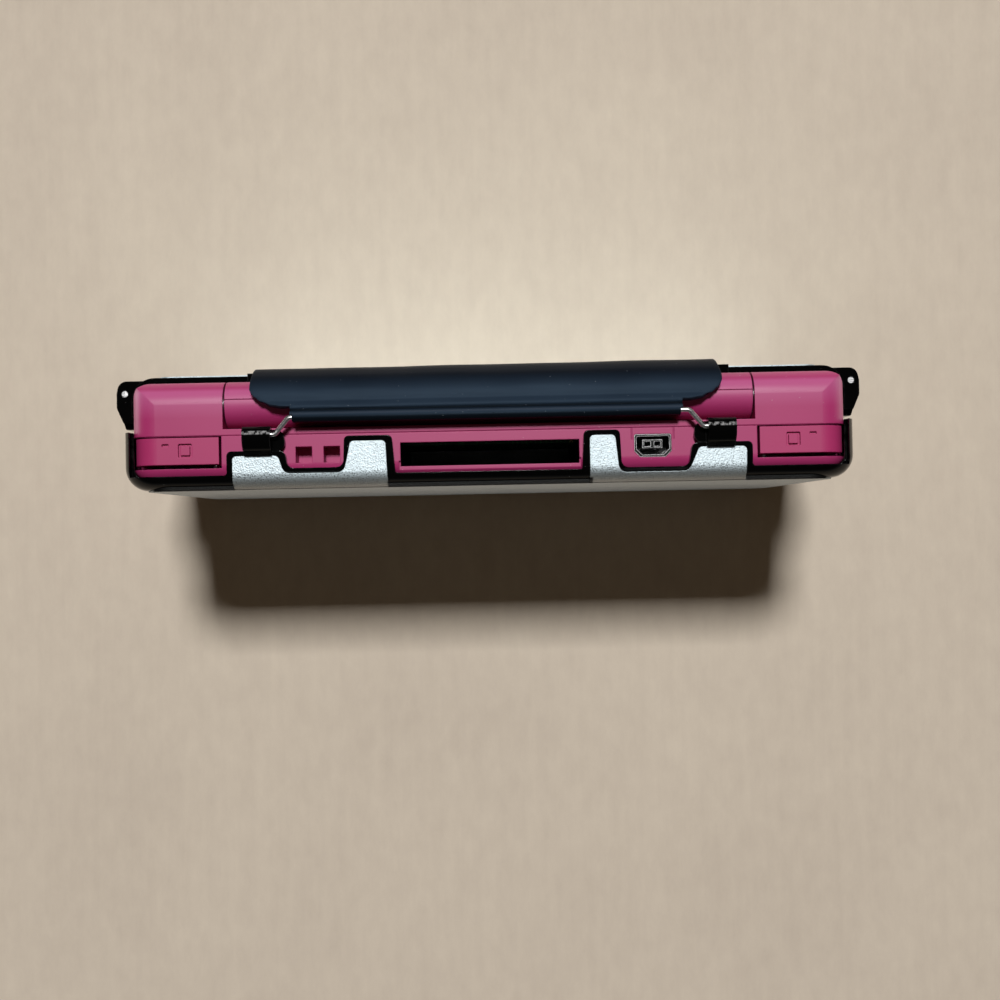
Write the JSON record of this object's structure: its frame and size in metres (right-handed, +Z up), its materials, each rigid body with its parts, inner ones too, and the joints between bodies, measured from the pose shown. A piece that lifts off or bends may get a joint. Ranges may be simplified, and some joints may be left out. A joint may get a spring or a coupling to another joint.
{
  "type": "clamshell handheld game console",
  "caption": "Folding handheld game console with a hinged lid, spring buttons, slots and stylus, worn in a hinged black case with metal plates and a spine flap.",
  "frame": {"origin": "on the underside of the case's lower plate, below the middle of the console's width and depth", "axes": "closed and lying flat: +X to the player's right, +Y to the hinge side, +Z up"},
  "size_m": [0.1464, 0.0811, 0.0234],
  "materials": {
    "battery_wrap": "plain grey battery sleeve",
    "board_green": "green circuit board",
    "bumper_rubber": "pink rubber bumper",
    "camera_black": "black lens housing",
    "case_aluminium": "bead-blasted aluminium",
    "case_black": "gloss-black moulded plastic",
    "chip_black": "black chip packages",
    "connector_black": "black connector plastic",
    "contact_gold": "gold-plated contacts",
    "display_dark": "dark grey module",
    "flap_navy": "matte navy-black rubbery skin",
    "flex_amber": "amber flexible circuit",
    "light_lens": "clear light pipes, unlit",
    "membrane_grey": "grey silicone",
    "pink_key": "matte magenta-pink moulded plastic, a little smoother than the shell",
    "pink_shell": "matte magenta-pink moulded plastic",
    "screen_glass": "black glossy screen window, switched off",
    "socket_metal": "plain steel shell",
    "steel": "plain steel",
    "wire_chrome": "bright steel wire"
  },
  "bodies": {
    "base": {"base_lower_shell": "pink_shell", "base_upper_shell": "pink_shell", "battery_cover": "pink_shell", "battery_pack": "battery_wrap", "main_board": "board_green", "board_chips": "chip_black", "card_connector": "connector_black", "card_contacts": "contact_gold", "charge_socket": "socket_metal", "headphone_socket": "connector_black", "sd_card_reader": "socket_metal", "touch_panel": "screen_glass", "lower_display": "display_dark", "key_membranes": "membrane_grey", "shoulder_pins": "steel", "shoulder_springs": "steel", "shoulder_switches": "connector_black", "volume_switches": "connector_black", "stylus_sleeve": "connector_black", "status_lights": "light_lens", "base_screws": "steel", "hinge_clutch": "steel", "hinge_bush": "steel", "hinge_flex": "flex_amber", "tray_frame": "case_black", "tray_plate": "case_aluminium"},
    "lid": {"lid_inner_shell": "pink_shell", "lid_outer_shell": "pink_shell", "upper_window": "screen_glass", "upper_display": "display_dark", "speakers": "display_dark", "outer_camera": "camera_black", "inner_camera": "camera_black", "lid_screws": "steel", "lid_bumpers": "bumper_rubber", "cover_frame": "case_black", "cover_plate": "case_aluminium", "clip_pins": "wire_chrome"},
    "spine": {"spine_flap": "flap_navy", "hinge_wire": "wire_chrome"},
    "clip_left": {"side_clip_left": "case_black"},
    "clip_right": {"side_clip_right": "case_black"},
    "shoulder_l": {"shoulder_left": "pink_key"},
    "shoulder_r": {"shoulder_right": "pink_key"},
    "cross_rocker": {"cross_fulcrum": "membrane_grey"},
    "cross": {"cross_pad": "pink_key"},
    "key_a": {"button_a": "pink_key"},
    "key_b": {"button_b": "pink_key"},
    "key_x": {"button_x": "pink_key"},
    "key_y": {"button_y": "pink_key"},
    "key_start": {"start_button": "pink_key"},
    "key_select": {"select_button": "pink_key"},
    "key_power": {"power_button": "pink_key"},
    "volume": {"volume_rocker": "pink_key"},
    "pen": {"stylus": "pink_key"},
    "card_door": {"sd_door": "pink_key"}
  },
  "joints": [
    {"name": "lid_hinge", "type": "hinge", "parent": "base", "child": "lid", "pos_m": [0, 0.033, 0.01645], "axis": [-1, 0, 0], "range_deg": [0, 155]},
    {"name": "spine_swing", "type": "hinge", "parent": "base", "child": "spine", "pos_m": [0, 0.0404, 0.0102], "axis": [-1, 0, 0], "range_deg": [0, 108.5]},
    {"name": "clip_left_swing", "type": "hinge", "parent": "lid", "child": "clip_left", "pos_m": [-0.0716, 0.012, 0.0196], "axis": [0, 1, 0], "range_deg": [0, 60]},
    {"name": "clip_right_swing", "type": "hinge", "parent": "lid", "child": "clip_right", "pos_m": [0.0716, 0.012, 0.0196], "axis": [0, -1, 0], "range_deg": [0, 60]},
    {"name": "shoulder_left_press", "type": "hinge", "parent": "base", "child": "shoulder_l", "pos_m": [-0.0531, 0.03145, 0.007], "axis": [0, 0, 1], "range_deg": [0, 4], "stiffness_Nm_per_rad": 0.3, "springref_deg": -2.86},
    {"name": "shoulder_right_press", "type": "hinge", "parent": "base", "child": "shoulder_r", "pos_m": [0.0531, 0.03145, 0.007], "axis": [0, 0, -1], "range_deg": [0, 4], "stiffness_Nm_per_rad": 0.3, "springref_deg": -2.86},
    {"name": "cross_tilt_up_down", "type": "hinge", "parent": "base", "child": "cross_rocker", "pos_m": [-0.0515, 0.007, 0.00975], "axis": [1, 0, 0], "range_deg": [-2.5, 2.5], "stiffness_Nm_per_rad": 0.15},
    {"name": "cross_tilt_left_right", "type": "hinge", "parent": "cross_rocker", "child": "cross", "pos_m": [-0.0515, 0.007, 0.00975], "axis": [0, 1, 0], "range_deg": [-2.5, 2.5], "stiffness_Nm_per_rad": 0.15},
    {"name": "button_a_press", "type": "slide", "parent": "base", "child": "key_a", "axis": [0, 0, -1], "range_m": [0, 0.0005], "stiffness_N_per_m": 2000, "springref_m": -0.0002},
    {"name": "button_b_press", "type": "slide", "parent": "base", "child": "key_b", "axis": [0, 0, -1], "range_m": [0, 0.0005], "stiffness_N_per_m": 2000, "springref_m": -0.0002},
    {"name": "button_x_press", "type": "slide", "parent": "base", "child": "key_x", "axis": [0, 0, -1], "range_m": [0, 0.0005], "stiffness_N_per_m": 2000, "springref_m": -0.0002},
    {"name": "button_y_press", "type": "slide", "parent": "base", "child": "key_y", "axis": [0, 0, -1], "range_m": [0, 0.0005], "stiffness_N_per_m": 2000, "springref_m": -0.0002},
    {"name": "start_press", "type": "slide", "parent": "base", "child": "key_start", "axis": [0, 0, -1], "range_m": [0, 0.0005], "stiffness_N_per_m": 2000, "springref_m": -0.0002},
    {"name": "select_press", "type": "slide", "parent": "base", "child": "key_select", "axis": [0, 0, -1], "range_m": [0, 0.0005], "stiffness_N_per_m": 2000, "springref_m": -0.0002},
    {"name": "power_press", "type": "slide", "parent": "base", "child": "key_power", "axis": [0, 0, -1], "range_m": [0, 0.0005], "stiffness_N_per_m": 2000, "springref_m": -0.0002},
    {"name": "volume_rock", "type": "hinge", "parent": "base", "child": "volume", "pos_m": [-0.06535, 0.003, 0.0075], "axis": [0, 0, 1], "range_deg": [-2, 2], "stiffness_Nm_per_rad": 0.2},
    {"name": "stylus_slide", "type": "slide", "parent": "base", "child": "pen", "axis": [1, 0, 0], "range_m": [0, 0.095]},
    {"name": "card_door_swing", "type": "hinge", "parent": "base", "child": "card_door", "pos_m": [0.06795, -0.01535, 0.00395], "axis": [0, 1, 0], "range_deg": [0, 80]}
  ],
  "couplings": [
    {"joint": "spine_swing", "follows": "lid_hinge", "ratio": 0.7}
  ]
}
